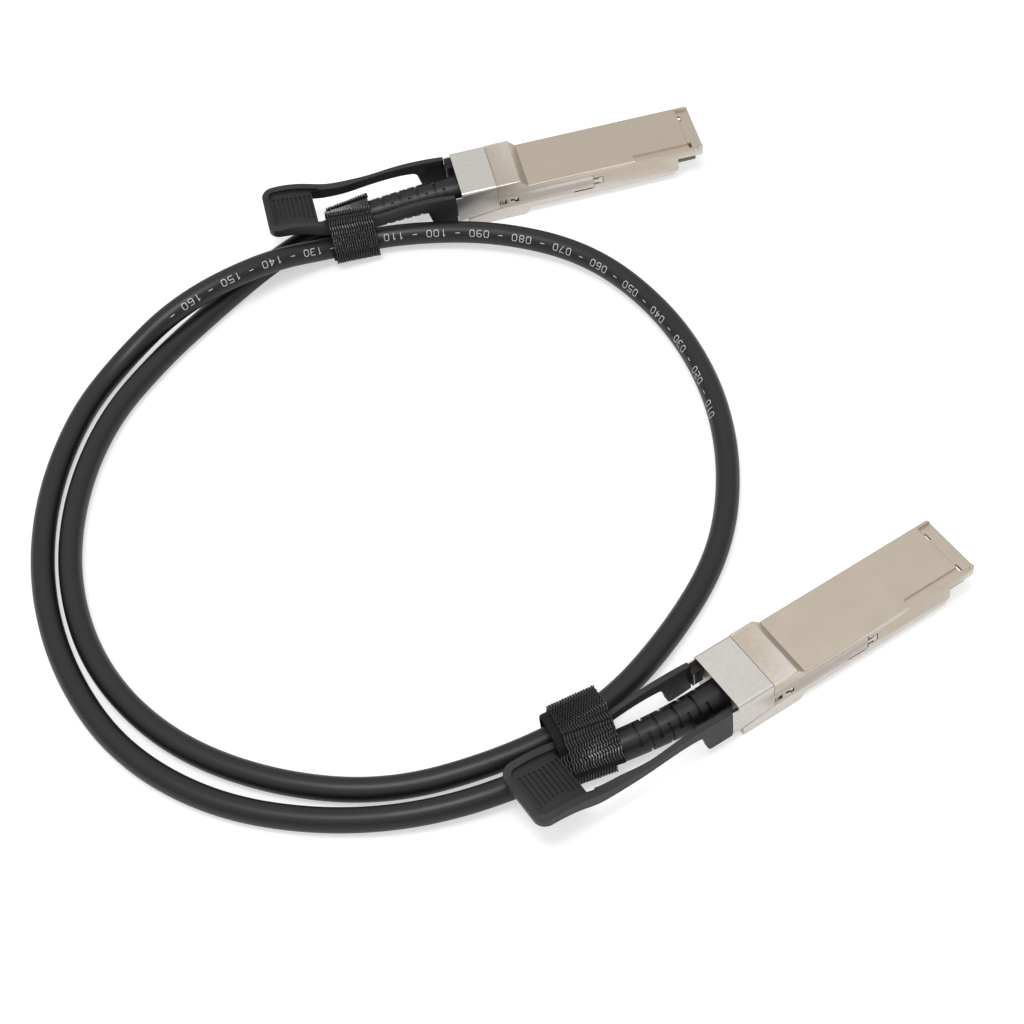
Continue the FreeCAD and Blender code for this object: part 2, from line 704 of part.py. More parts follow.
def cableJacket():
    """The cable from ferrule to ferrule, bent with both boots."""
    endA, rearA, middleA, tailA, leadA = plugSpine("a")
    endB, rearB, middleB, tailB, leadB = plugSpine("b")
    free, radii = cablePath([tailA, leadA] + [Vector(*p) for p in cableRoute] + [leadB, tailB])
    path = Part.Wire([Part.makeLine(endA, rearA), Part.Arc(rearA, middleA, tailA).toShape()] + free
                     + [Part.Arc(tailB, middleB, rearB).toShape(), Part.makeLine(rearB, endB)])
    section = Part.Wire(Part.makeCircle(cableRadius, endA, rearA - endA))
    tube = path.makePipeShell([section], True, False, 1)
    print("cord radii mm", [round(r) for r in radii])
    print("cord length mm", round(sum(e.Length for e in free), 1), "volume over section x length",
          round(tube.Volume / (math.pi * cableRadius ** 2 * path.Length), 4))
    return tube, path


# ---- straps ---------------------------------------------------------------------------
def strapFrame(key):
    """The strap's own frame: x across its width, y and z in the plane of its loop."""
    middleX, turn, _ = strapSpots[key]
    x, y, heading = plugSpots[key]
    plug = Placement(Vector(x, y, 0), Rotation(Vector(0, 0, 1), heading))
    return plug.multiply(Placement(Vector(middleX, 0, 0), Rotation(Vector(0, 0, 1), turn)))


def cableCrossings(path, frame, across, side):
    """The cable's axis at one edge of the strap, as (y, z): in the boot, then beside it."""
    back = frame.inverse()
    points = [back.multVec(p) for p in path.discretize(Distance=1.0)]
    found = []
    for p, q in zip(points, points[1:]):
        if (p.x - across) * (q.x - across) <= 0 and abs(p.y) < 30:
            share = (across - p.x) / (q.x - p.x)
            found.append(p + (q - p) * share)
    found.sort(key=lambda p: abs(p.y))
    own = found[0]
    beside = [p for p in found[1:] if (p.y - own.y) * side > cableRadius][0]
    return (own.y, own.z), (beside.y, beside.z)


def armCorners(frame, key, across, side):
    """The tab arm's two upper corners where it passes the strap's section."""
    corners = []
    innerY = halfWidth - tabArmRearWidth
    for y in (innerY, halfWidth):
        start = frame.inverse().multVec(spotPoint(plugSpots[key], -60, side * y, 0))
        end = frame.inverse().multVec(spotPoint(plugSpots[key], 0, side * y, 0))
        share = (across - start.x) / (end.x - start.x)
        local = -60 + 60 * share
        inset = strapArmCorner if y == innerY else -strapArmCorner
        corners.append((start.y + (end.y - start.y) * share + side * inset, armTopAt(local)))
    return corners


def armTopAt(x):
    """Highest point of the tab's upper edge over x while the tab travels back."""
    edge = Part.BSplineCurve()
    edge.interpolate(tabTopPoints())
    points = edge.discretize(Number=200)
    return max(p.z for p in points if x - 0.3 <= p.x <= x + travel + 0.3)


def tangentPoints(a, b):
    """Where the outer tangent of two circles (y, z, r) touches each, going anticlockwise."""
    dy, dz = b[0] - a[0], b[1] - a[1]
    gap = math.hypot(dy, dz)
    heading = math.atan2(dz, dy)
    normal = heading - math.acos((a[2] - b[2]) / gap)
    unit = (math.cos(normal), math.sin(normal))
    return ((a[0] + a[2] * unit[0], a[1] + a[2] * unit[1]),
            (b[0] + b[2] * unit[0], b[1] + b[2] * unit[1]))


def bandWire(circles, grow, x):
    """A belt pulled round circles given anticlockwise as (y, z, r), grown by a distance."""
    grown = [(y, z, r + grow) for y, z, r in circles]
    count = len(grown)
    touches = [tangentPoints(grown[i], grown[(i + 1) % count]) for i in range(count)]
    edges = []
    for i in range(count):
        leave, reach = touches[i]
        edges.append(Part.makeLine(Vector(x, *leave), Vector(x, *reach)))
        nextLeave = touches[(i + 1) % count][0]
        y, z, r = grown[(i + 1) % count]
        first = math.atan2(reach[1] - z, reach[0] - y)
        last = math.atan2(nextLeave[1] - z, nextLeave[0] - y)
        if last < first:
            last += 2 * math.pi
        middle = (first + last) / 2
        crown = Vector(x, y + r * math.cos(middle), z + r * math.sin(middle))
        edges.append(Part.Arc(Vector(x, *reach), crown, Vector(x, *nextLeave)).toShape())
    return Part.Wire(edges)


def strap(key, path):
    """A strap pulled round boot, passing strand and tab arm, ruled edge to edge."""
    side = strapSpots[key][2]
    frame = strapFrame(key)
    wires = {0: [], strapThick: []}
    for across in (-strapWidth / 2, strapWidth / 2):
        own, beside = cableCrossings(path, frame, across, side)
        inner, outer = armCorners(frame, key, across, side)
        boot = (*own, bootTailRadius + strapSlack if across > 0 else cableRadius + strapRearSlack)
        strand = (*beside, cableRadius + strandSlack)
        corner = strapArmGap + strapArmCorner
        arms = [(outer[0], outer[1] - strapArmCorner, corner), (inner[0], inner[1] - strapArmCorner, corner)]
        circles = [boot, strand] + arms if side > 0 else [strand, boot] + arms[::-1]
        for grow in wires:
            wires[grow].append(bandWire(circles, grow, across))
    band = Part.makeLoft(wires[strapThick], True, True).cut(Part.makeLoft(wires[0], True, True))
    band.Placement = frame
    return band


# ---- the whole cable --------------------------------------------------------------------
def plugPieces(key):
    slider = latchSlider()
    card = paddleCard()
    pairs = twinaxPairs()
    return {
        "upper_shell": upperShell(),
        "lower_shell": lowerShell(),
        "shell_screws": shellScrews(),
        "latch_slider": slider,
        "pull_tab": pullTab(slider),
        "return_springs": returnSprings(),
        "paddle_card": card,
        "contact_pads": contactPads(),
        "memory_chip": cardChips(),
        "twinax_pairs": pairs,
        "wire_potting": wirePotting(card, pairs),
        "crimp_ferrule": crimpFerrule(),
        "strain_relief_boot": strainBoot(key),
    }


def buildAll():
    nodes = {}
    jacket, path = cableJacket()
    for key, spot in plugSpots.items():
        for name, shape in plugPieces(key).items():
            nodes[name + "_" + key] = placed(shape, spot)
        nodes["strap_" + key] = strap(key, path)
    nodes["cable_jacket"] = jacket
    return nodes


os.makedirs("parts", exist_ok=True)
for nodeName, nodeShape in buildAll().items():
    nodeShape.exportStep("parts/" + nodeName + ".step")
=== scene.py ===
import bisect
import json
import math
import random

import bmesh
import bpy
from mathutils import Matrix, Vector


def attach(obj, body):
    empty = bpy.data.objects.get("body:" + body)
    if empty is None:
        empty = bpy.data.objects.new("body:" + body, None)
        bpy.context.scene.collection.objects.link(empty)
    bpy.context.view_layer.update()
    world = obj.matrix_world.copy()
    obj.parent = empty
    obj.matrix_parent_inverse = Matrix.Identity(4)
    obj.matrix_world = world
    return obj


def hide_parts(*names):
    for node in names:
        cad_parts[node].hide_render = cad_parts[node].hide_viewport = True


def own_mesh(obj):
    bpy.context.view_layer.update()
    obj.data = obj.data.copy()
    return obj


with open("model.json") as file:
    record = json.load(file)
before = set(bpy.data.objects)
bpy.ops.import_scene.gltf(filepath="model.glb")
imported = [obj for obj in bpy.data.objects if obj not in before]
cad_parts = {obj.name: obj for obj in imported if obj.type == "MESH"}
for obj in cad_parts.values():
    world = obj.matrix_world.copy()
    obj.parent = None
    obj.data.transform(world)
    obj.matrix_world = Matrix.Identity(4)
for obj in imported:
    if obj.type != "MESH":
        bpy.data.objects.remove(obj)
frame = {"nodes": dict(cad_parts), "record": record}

bpy.context.view_layer.update()
mm = 0.001
plugReach = 0.0723    # from the slider's rear top edge to the plug's mating end
print("frame loaded")


def plugPlace(key):
    # a plug's own frame: x to its mating end, y to its left, z up from the table
    mount = next(m for m in frame["record"]["mounts"] if m["name"] == "plug_" + key + "_cage")
    ahead = Vector(mount["axis"])
    front = Vector(mount["pos_m"]) - ahead * plugReach
    turn = Matrix.Rotation(math.atan2(ahead.y, ahead.x), 4, "Z")
    return Matrix.Translation((front.x, front.y, 0)) @ turn


places = {key: plugPlace(key) for key in "ab"}


camera = {
    "place": (-0.0700, -0.3661, 0.4545),
    "ahead": (0.0699, 0.6139, -0.7863),
    "rollDegrees": -8.33,
    "lens": 77.1,
    "sensor": 36.0,
    "clip": (0.01, 20.0),
}


def addCamera(values):
    data = bpy.data.cameras.new("camera")
    data.lens = values["lens"]
    data.sensor_width = values["sensor"]
    data.clip_start, data.clip_end = values["clip"]
    eye = bpy.data.objects.new("camera", data)
    bpy.context.scene.collection.objects.link(eye)
    ahead = Vector(values["ahead"]).normalized()
    right = ahead.cross(Vector((0, 0, 1))).normalized()
    up = right.cross(ahead)
    roll = math.radians(values["rollDegrees"])
    tilted = right * math.cos(roll) + up * math.sin(roll)
    upward = up * math.cos(roll) - right * math.sin(roll)
    turn = Matrix((tilted, upward, -ahead)).transposed().to_4x4()
    eye.matrix_world = Matrix.Translation(values["place"]) @ turn
    bpy.context.scene.camera = eye


addCamera(camera)


cable = {
    "radius": 0.00315,
    "length": 0.920,
    "steps": 14,      # between two points of the route
    "facets": 7,      # how finely the jacket is rounded
    # from the tail of boot a to the tail of boot b
    "route": [
        (-0.04735, 0.1041, 0.00543), (-0.06228, 0.10317, 0.00432), (-0.0785, 0.0953, 0.00315),
        (-0.0945, 0.0836, 0.00315), (-0.1125, 0.0693, 0.00315), (-0.1305, 0.0505, 0.00315),
        (-0.1425, 0.0245, 0.00315), (-0.1470, -0.0040, 0.00315), (-0.1425, -0.0330, 0.00315),
        (-0.1280, -0.0585, 0.00315), (-0.1055, -0.0770, 0.00315), (-0.0785, -0.0880, 0.00315),
        (-0.0495, -0.0878, 0.0042), (-0.0225, -0.0810, 0.0046), (0.0000, -0.0630, 0.00315),
        (0.0190, -0.0415, 0.00315), (0.0295, -0.0140, 0.00315), (0.0323, 0.0147, 0.00315),
        (0.0272, 0.0435, 0.00315), (0.0130, 0.0695, 0.0046), (-0.0105, 0.0858, 0.0056),
        (-0.0375, 0.0952, 0.0044), (-0.0580, 0.0956, 0.0044), (-0.0780, 0.0895, 0.0112),
        (-0.1040, 0.0805, 0.0112), (-0.1245, 0.0706, 0.00315), (-0.1385, 0.0535, 0.00315),
        (-0.1498, 0.0270, 0.00315), (-0.1540, -0.0017, 0.00315), (-0.1508, -0.0305, 0.00315),
        (-0.1400, -0.0580, 0.00315), (-0.1200, -0.0793, 0.00315), (-0.0940, -0.0920, 0.00315),
        (-0.0670, -0.0975, 0.0044), (-0.03842, -0.09435, 0.00479), (-0.02354, -0.09264, 0.00566),
    ],
}


def routeCurve(name, values):
    line = bpy.data.curves.new(name, "CURVE")
    line.dimensions = "3D"
    points = values["route"]
    spline = line.splines.new("NURBS")
    spline.points.add(len(points) - 1)
    for spot, p in zip(spline.points, points):
        spot.co = (*p, 1.0)
        spot.radius = values["radius"]
    spline.order_u = 3
    spline.use_endpoint_u = True
    spline.resolution_u = values["steps"]
    return line


def centreline(values):
    # points along the cable's axis, read from its smooth line
    line = bpy.data.objects.new("axis", routeCurve("axis", values))
    bpy.context.scene.collection.objects.link(line)
    mesh = bpy.data.meshes.new_from_object(line.evaluated_get(bpy.context.evaluated_depsgraph_get()))
    points = [v.co.copy() for v in mesh.vertices]
    bpy.data.objects.remove(line)
    return points


def addCable(values):
    line = routeCurve("cable", values)
    line.bevel_depth = 1.0    # times each point's radius
    line.bevel_resolution = values["facets"]
    line.use_fill_caps = True
    tube = bpy.data.objects.new("cable", line)
    bpy.context.scene.collection.objects.link(tube)
    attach(tube, "assembly_body")
    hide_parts("cable_jacket")
    return tube


# the axis inside the boots, from the shells' rear edges
bootAxis = {
    "a": [Vector((-0.0184, 0.1050, 0.0065)), Vector((-0.03289, 0.10477, 0.00623))],
    "b": [Vector((0.0046, -0.0860, 0.0065)), Vector((-0.00928, -0.09015, 0.00629))],
}
axisPoints = bootAxis["a"] + centreline(cable) + bootAxis["b"][::-1]
cableTube = addCable(cable)
print("cable laid")


def meshObject(name, verts, faces, material, smooth=True):
    mesh = bpy.data.meshes.new(name)
    mesh.from_pydata(verts, [], faces)
    for face in mesh.polygons:
        face.use_smooth = smooth
    mesh.materials.append(material)
    piece = bpy.data.objects.new(name, mesh)
    bpy.context.scene.collection.objects.link(piece)
    return piece


def newGroup(name, inputs, outputs):
    group = bpy.data.node_groups.new(name, "ShaderNodeTree")
    for label, kind, value in inputs:
        socket = group.interface.new_socket(name=label, in_out="INPUT", socket_type=kind)
        if value is not None:
            socket.default_value = value
    for label, kind in outputs:
        group.interface.new_socket(name=label, in_out="OUTPUT", socket_type=kind)
    nodes = group.nodes
    return group, nodes.new("NodeGroupInput"), nodes.new("NodeGroupOutput")


def addNode(tree, kind, settings=None, **inputs):
    node = tree.nodes.new(kind)
    for key, value in (settings or {}).items():
        setattr(node, key, value)
    for key, value in inputs.items():
        # n0, n1 and so on stand for a socket's number
        label = int(key[1:]) if key.startswith("n") else key.replace("_", " ")
        socket = node.inputs[label]
        if isinstance(value, bpy.types.NodeSocket):
            tree.links.new(value, socket)
        else:
            socket.default_value = value
    return node


def mathNode(tree, operation, a, b=0.0, clamp=False):
    node = addNode(tree, "ShaderNodeMath", {"operation": operation, "use_clamp": clamp}, n0=a, n1=b)
    return node.outputs[0]


def buildGrain():
    # fine pitted grain of a plated casting or a moulded surface
    group, given, made = newGroup(
        "surfaceGrain",
        [("Size", "NodeSocketFloat", 0.3), ("Blotch", "NodeSocketFloat", 6.0)],
        [("Height", "NodeSocketFloat"), ("Blotches", "NodeSocketFloat")],
    )
    spot = addNode(group, "ShaderNodeTexCoord").outputs["Object"]
    scale = mathNode(group, "DIVIDE", 1 / mm, given.outputs["Size"])
    broad = mathNode(group, "DIVIDE", 1 / mm, given.outputs["Blotch"])
    fine = addNode(group, "ShaderNodeTexNoise", None, Vector=spot, Scale=scale, Detail=4.0, Roughness=0.6)
    blotch = addNode(group, "ShaderNodeTexNoise", None, Vector=spot, Scale=broad, Detail=3.0, Roughness=0.55)
    group.links.new(fine.outputs[0], made.inputs["Height"])
    group.links.new(blotch.outputs[0], made.inputs["Blotches"])
    return group


def buildWearAndHighlight():
    # 1 along convex edges, broken up so that it looks rubbed; the edge colour it lays on is partly rubbed
    # wear, partly a painted edge highlight
    group, given, made = newGroup(
        "edgeWear",
        [("Start", "NodeSocketFloat", 0.52), ("Softness", "NodeSocketFloat", 0.06),
         ("Breakup", "NodeSocketFloat", 0.4)],
        [("Mask", "NodeSocketFloat")],
    )
    point = addNode(group, "ShaderNodeNewGeometry").outputs["Pointiness"]
    spot = addNode(group, "ShaderNodeTexCoord").outputs["Object"]
    patches = addNode(group, "ShaderNodeTexNoise", None, Vector=spot, Scale=900.0, Detail=3.0).outputs[0]
    above = mathNode(group, "SUBTRACT", point, given.outputs["Start"])
    ramp = mathNode(group, "DIVIDE", above, given.outputs["Softness"], clamp=True)
    broken = mathNode(group, "MULTIPLY", patches, given.outputs["Breakup"])
    kept = mathNode(group, "SUBTRACT", ramp, broken, clamp=True)
    group.links.new(kept, made.inputs["Mask"])
    return group


grainGroup = buildGrain()
wearAndHighlightGroup = buildWearAndHighlight()


def newMaterial(name, values):
    material = bpy.data.materials.new(name)
    material.use_nodes = True
    tree = material.node_tree
    shader = tree.nodes["Principled BSDF"]
    shader.inputs["Base Color"].default_value = (*values["colour"], 1)
    shader.inputs["Roughness"].default_value = values["roughness"]
    shader.inputs["Metallic"].default_value = values.get("metallic", 0.0)
    shader.inputs["Specular IOR Level"].default_value = values.get("specular", 0.5)
    return material, tree, shader


def addGroup(tree, group, **values):
    node = tree.nodes.new("ShaderNodeGroup")
    node.node_tree = group
    for key, value in values.items():
        node.inputs[key].default_value = value
    return node


# what every finish shares: rubbed edges with a painted edge highlight, spread of the blotches, depth of the
# grain, rounded corners
surface = {
    "wearHighlightStart": 0.53, "wearHighlightSoftness": 0.05, "wearHighlightBreakup": 0.5,
    "blotchRange": (0.3, 0.7), "bumpShare": 0.5, "cornerSamples": 4,
}


def grainyMaterial(name, values):
    # one moulded or cast surface: blotched colour, uneven gloss, fine grain, rubbed edges that also carry a
    # painted edge highlight
    material, tree, shader = newMaterial(name, values)
    grain = addGroup(tree, grainGroup, Size=values["grain"], Blotch=values["blotch"])
    wearAndHighlight = addGroup(tree, wearAndHighlightGroup, Start=surface["wearHighlightStart"], Softness=surface["wearHighlightSoftness"],
                    Breakup=surface["wearHighlightBreakup"])
    dark = [c * (1 - values["variation"]) for c in values["colour"]]
    light = [min(1.0, c * (1 + values["variation"])) for c in values["colour"]]
    tone = addNode(tree, "ShaderNodeMix", {"data_type": "RGBA"}, n0=grain.outputs["Blotches"],
                   n6=(*dark, 1), n7=(*light, 1))
    # the lighter edge colour on convex edges is partly rubbed wear, partly a painted edge highlight
    edge = addNode(tree, "ShaderNodeMix", {"data_type": "RGBA"}, n0=wearAndHighlight.outputs["Mask"],
                   n6=tone.outputs[2], n7=(*values["edge"], 1))
    tree.links.new(edge.outputs[2], shader.inputs["Base Color"])
    low, high = values["roughness"] - values["glossSpread"], values["roughness"] + values["glossSpread"]
    gloss = addNode(tree, "ShaderNodeMapRange", None, Value=grain.outputs["Blotches"])
    gloss.inputs["From Min"].default_value, gloss.inputs["From Max"].default_value = surface["blotchRange"]
    gloss.inputs["To Min"].default_value, gloss.inputs["To Max"].default_value = low, high
    tree.links.new(gloss.outputs[0], shader.inputs["Roughness"])
    bump = addNode(tree, "ShaderNodeBump", None, Height=grain.outputs["Height"],
                   Strength=values["bump"], Distance=values["grain"] * mm * surface["bumpShare"])
    if "rounding" in values:
        corner = addNode(tree, "ShaderNodeBevel", {"samples": surface["cornerSamples"]},
                         Radius=values["rounding"] * mm)
        tree.links.new(corner.outputs[0], bump.inputs["Normal"])
    tree.links.new(bump.outputs[0], shader.inputs["Normal"])
    return material


# each finish's edge colour goes on its convex edges: partly rubbed wear, partly a painted edge highlight
finishes = {
    "platedCasting": {"colour": (0.585, 0.51, 0.42), "metallic": 1.0, "rounding": 0.22,
                      "roughness": 0.39, "glossSpread": 0.05, "grain": 0.22, "blotch": 7.0,
                      "variation": 0.04, "bump": 0.25, "edge": (0.8, 0.77, 0.72)},
    "stainlessSheet": {"colour": (0.485, 0.435, 0.385), "metallic": 1.0, "rounding": 0.14,
                       "roughness": 0.33, "glossSpread": 0.03, "grain": 0.15, "blotch": 5.0,
                       "variation": 0.02, "bump": 0.06, "edge": (0.745, 0.72, 0.685)},
    "tabBlack": {"colour": (0.0075, 0.008, 0.008), "rounding": 0.3, "roughness": 0.46, "specular": 0.42,
                 "glossSpread": 0.04, "grain": 0.18, "blotch": 8.0, "variation": 0.15, "bump": 0.22,
                 "edge": (0.025, 0.025, 0.026)},
    "bootBlack": {"colour": (0.006, 0.006, 0.0065), "rounding": 0.12, "roughness": 0.4,
                  "specular": 0.42, "glossSpread": 0.05, "grain": 0.2, "blotch": 6.0, "variation": 0.15,
                  "bump": 0.15, "edge": (0.02, 0.02, 0.02)},
    "cablePvc": {"colour": (0.0075, 0.0083, 0.0095), "roughness": 0.4, "specular": 0.45,
                 "glossSpread": 0.03, "grain": 0.35, "blotch": 12.0, "variation": 0.1, "bump": 0.06,
                 "edge": (0.009, 0.01, 0.011)},
    "boardGreen": {"colour": (0.02, 0.1, 0.06), "roughness": 0.35, "glossSpread": 0.04, "grain": 0.5,
                   "blotch": 3.0, "variation": 0.1, "bump": 0.1, "edge": (0.25, 0.22, 0.12)},
    "goldPlate": {"colour": (0.85, 0.63, 0.28), "metallic": 1.0, "roughness": 0.28, "glossSpread": 0.04,
                  "grain": 0.2, "blotch": 2.0, "variation": 0.05, "bump": 0.05,
                  "edge": (0.9, 0.75, 0.4)},
    "chipBlack": {"colour": (0.012, 0.012, 0.012), "roughness": 0.6, "glossSpread": 0.04, "grain": 0.1,
                  "blotch": 3.0, "variation": 0.1, "bump": 0.2, "edge": (0.05, 0.05, 0.05)},
    "wireFilm": {"colour": (0.5, 0.55, 0.62), "metallic": 0.6, "roughness": 0.3, "glossSpread": 0.05,
                 "grain": 0.3, "blotch": 2.0, "variation": 0.1, "bump": 0.2, "edge": (0.7, 0.72, 0.75)},
    "pottingResin": {"colour": (0.62, 0.58, 0.48), "roughness": 0.45, "glossSpread": 0.05, "grain": 0.4,
                     "blotch": 3.0, "variation": 0.08, "bump": 0.2, "edge": (0.7, 0.68, 0.6)},
    "screwSteel": {"colour": (0.5, 0.5, 0.5), "metallic": 1.0, "roughness": 0.35, "glossSpread": 0.05,
                   "grain": 0.15, "blotch": 2.0, "variation": 0.05, "bump": 0.1,
                   "edge": (0.8, 0.8, 0.8)},
    "markInk": {"colour": (0.56, 0.57, 0.58), "roughness": 0.5, "glossSpread": 0.05, "grain": 0.2,
                "blotch": 3.0, "variation": 0.15, "bump": 0.1, "edge": (0.6, 0.6, 0.6)},
    "ferruleBrass": {"colour": (0.62, 0.52, 0.36), "metallic": 1.0, "roughness": 0.35,
                     "glossSpread": 0.05, "grain": 0.2, "blotch": 2.0, "variation": 0.06, "bump": 0.1,
                     "edge": (0.8, 0.7, 0.5)},
}
materials = {name: grainyMaterial(name, values) for name, values in finishes.items()}
cableTube.data.materials.append(materials["cablePvc"])
print("materials made")


# length marks printed on the jacket
marks = {
    "from": (0.0330, 0.0000),   # x, y where the printing starts and stops
    "to": (-0.1200, 0.0720),
    "towardInside": 50.0,       # degrees round the jacket from its top
    "height": 1.85, "width": 1.35, "stroke": 0.21, "pitch": 2.15,   # millimetres
    "lift": 0.025,
    "group": 10,
    "inkStep": 0.35,            # longest straight piece of a stroke
    "room": 8,                  # letters that still have to fit before the end
}
strokes = {
    "0": [(0.2, 0), (0, 0.2), (0, 0.8), (0.2, 1), (0.8, 1), (1, 0.8), (1, 0.2), (0.8, 0), (0.2, 0)],
    "1": [(0.2, 0.8), (0.5, 1), (0.5, 0)],
    "2": [(0, 0.85), (0.2, 1), (0.8, 1), (1, 0.8), (1, 0.6), (0.8, 0.5), (0.2, 0.5), (0, 0.35), (0, 0),
          (1, 0)],
    "3": [(0, 1), (0.8, 1), (1, 0.8), (1, 0.6), (0.8, 0.5), (0.3, 0.5), (0.8, 0.5), (1, 0.4), (1, 0.2),
          (0.8, 0), (0, 0)],
    "4": [(0.75, 0), (0.75, 1), (0, 0.3), (1, 0.3)],
    "5": [(1, 1), (0, 1), (0, 0.55), (0.8, 0.55), (1, 0.4), (1, 0.15), (0.8, 0), (0, 0)],
    "6": [(0.9, 1), (0.2, 1), (0, 0.8), (0, 0.2), (0.2, 0), (0.8, 0), (1, 0.2), (1, 0.4), (0.8, 0.5),
          (0, 0.5)],
    "7": [(0, 1), (1, 1), (0.4, 0)],
    "8": [(0.2, 0.5), (0, 0.7), (0.2, 1), (0.8, 1), (1, 0.7), (0.8, 0.5), (0.2, 0.5), (0, 0.3), (0.2, 0),
          (0.8, 0), (1, 0.3), (0.8, 0.5)],
    "9": [(0.1, 0), (0.8, 0), (1, 0.2), (1, 0.8), (0.8, 1), (0.2, 1), (0, 0.8), (0, 0.6), (0.2, 0.5),
          (1, 0.5)],
    "-": [(0.1, 0.5), (0.9, 0.5)],
}


class Ruler:
    # distance along the cable's axis, turned into places on the jacket
    def __init__(self, points):
        self.points, self.reach = points, [0.0]
        for p, q in zip(points, points[1:]):
            self.reach.append(self.reach[-1] + (q - p).length)

    def nearest(self, x, y):
        # the first third is left out, because it runs beside the printed stretch
        third = len(self.points) // 3
        return min(range(third, len(self.points)),
                   key=lambda i: (self.points[i].x - x) ** 2 + (self.points[i].y - y) ** 2)

    def place(self, s, angle, radius):
        i = max(1, min(len(self.reach) - 2, bisect.bisect(self.reach, s)))
        p, q = self.points[i - 1], self.points[i]
        share = (s - self.reach[i - 1]) / (self.reach[i] - self.reach[i - 1])
        before = (q - self.points[max(0, i - 2)]).normalized()
        after = (self.points[i + 1] - p).normalized()
        ahead = before.lerp(after, share).normalized()
        inside = Vector((0, 0, 1)).cross(ahead).normalized()
        up = ahead.cross(inside)
        return p.lerp(q, share) + (up * math.cos(angle) + inside * math.sin(angle)) * radius


def addMarks(values, points):
    ruler = Ruler(points)
    start = ruler.reach[ruler.nearest(*values["from"])]
    stop = ruler.reach[ruler.nearest(*values["to"])]
    radius = cable["radius"] + values["lift"] * mm
    verts, faces = [], []

    def ink(p, q):
        # one straight stroke, its ends squared, laid on the jacket
        along = (q - p).normalized()
        side = Vector((-along.y, along.x)) * values["stroke"] / 2
        p, q = p - along * values["stroke"] / 2, q + along * values["stroke"] / 2
        steps = max(1, math.ceil((q - p).length / values["inkStep"]))
        first = len(verts)
        for step in range(steps + 1):
            middle = p.lerp(q, step / steps)
            for edge in (middle - side, middle + side):
                angle = math.radians(values["towardInside"]) + edge.y * mm / cable["radius"]
                verts.append(ruler.place(start + edge.x * mm, angle, radius))
        for step in range(steps):
            c = first + 2 * step
            faces.append((c, c + 2, c + 3, c + 1))

    at, number = 0.0, values["group"]
    while (start + (at + values["room"] * values["pitch"]) * mm) < stop:
        for letter in "%03d - " % number:
            if letter in strokes:
                corners = [Vector((at + x * values["width"], (y - 0.5) * values["height"]))
                           for x, y in strokes[letter]]
                for p, q in zip(corners, corners[1:]):
                    ink(p, q)
            at += values["pitch"]
        number += values["group"]
    piece = meshObject("lengthMarks", verts, faces, materials["markInk"])
    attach(piece, "assembly_body")
    return piece


lengthMarks = addMarks(marks, axisPoints)


straps = {
    "width": 0.0128,
    "thickness": 0.0007,
    "turnGrowth": 0.00085,     # how much further out each turn lies
    "stations": 200,           # points round one turn
    "directions": 720,         # in which the belt is held off its circles
    "pressed": 0.58,           # share of its thickness that a turn loses underneath
    "pressedFrom": 0.3,        # downward part of the way out where that starts
    "pressedSpan": 0.6,
    "boundRadii": (0.00375, 0.0042),     # round the plug's own cable, at the strap's rear and front edge
    "besideRadius": 0.0035,    # round the strand that passes
    "reach": 0.03,             # strands further off are not bound
    "apart": 0.003,
    "armOuter": 0.0009,        # from the arm's outer face to the middle of the first circle on it
    "armInner": 0.0005,        # from its inner face to the middle of the second
    "armCorner": 0.0012,       # radius of the second circle
    "overArm": 0.0007,
    "columns": [-1.0, -0.985, -0.94, -0.6, -0.2, 0.2, 0.6, 0.94, 0.985, 1.0],
    "selvage": [0.3, 0.75, 1.0, 1.0, 1.0, 1.0, 1.0, 1.0, 0.75, 0.3],
    "armHalfWidth": 0.009175,
    "armWidth": 0.0022,
    "armTops": [(-0.046, 0.0146), (-0.038, 0.0126), (-0.031, 0.0120), (-0.024, 0.0124), (-0.017, 0.0130)],
    "a": {"middleX": -0.0327, "turnDegrees": 0.0, "side": -1, "turns": 1.62, "begin": 0.50,
          "drift": -0.0010, "loose": (0.0, 0.0), "bulge": 0.0025},
    "b": {"middleX": -0.0342, "turnDegrees": -17.0, "side": 1, "turns": 1.57, "begin": 0.93,
          "drift": -0.0034, "loose": (0.0012, 0.0007), "bulge": 0.0014},
}


def mix(a, b, share):
    return a + (b - a) * share


def stepped(table, x):
    # straight-line reading of a short table
    for (x0, y0), (x1, y1) in zip(table, table[1:]):
        if x <= x1:
            return mix(y0, y1, max(0.0, (x - x0) / (x1 - x0)))
    return table[-1][1]


def beltOutline(circles, count):
    # a belt pulled round circles (y, z, radius), as evenly spaced points going anticlockwise
    corners = []
    for step in range(straps["directions"]):
        angle = 2 * math.pi * step / straps["directions"]
        y, z, r = max(circles, key=lambda c: c[0] * math.cos(angle) + c[1] * math.sin(angle) + c[2])
        corners.append(Vector((y + r * math.cos(angle), z + r * math.sin(angle))))
    corners.append(corners[0])
    reach = [0.0]
    for p, q in zip(corners, corners[1:]):
        reach.append(reach[-1] + (q - p).length)
    points, at = [], 0
    for step in range(count):
        goal = reach[-1] * step / count
        while reach[at + 1] < goal:
            at += 1
        span = max(reach[at + 1] - reach[at], 1e-12)
        points.append(corners[at].lerp(corners[at + 1], (goal - reach[at]) / span))
    return points, reach[-1]


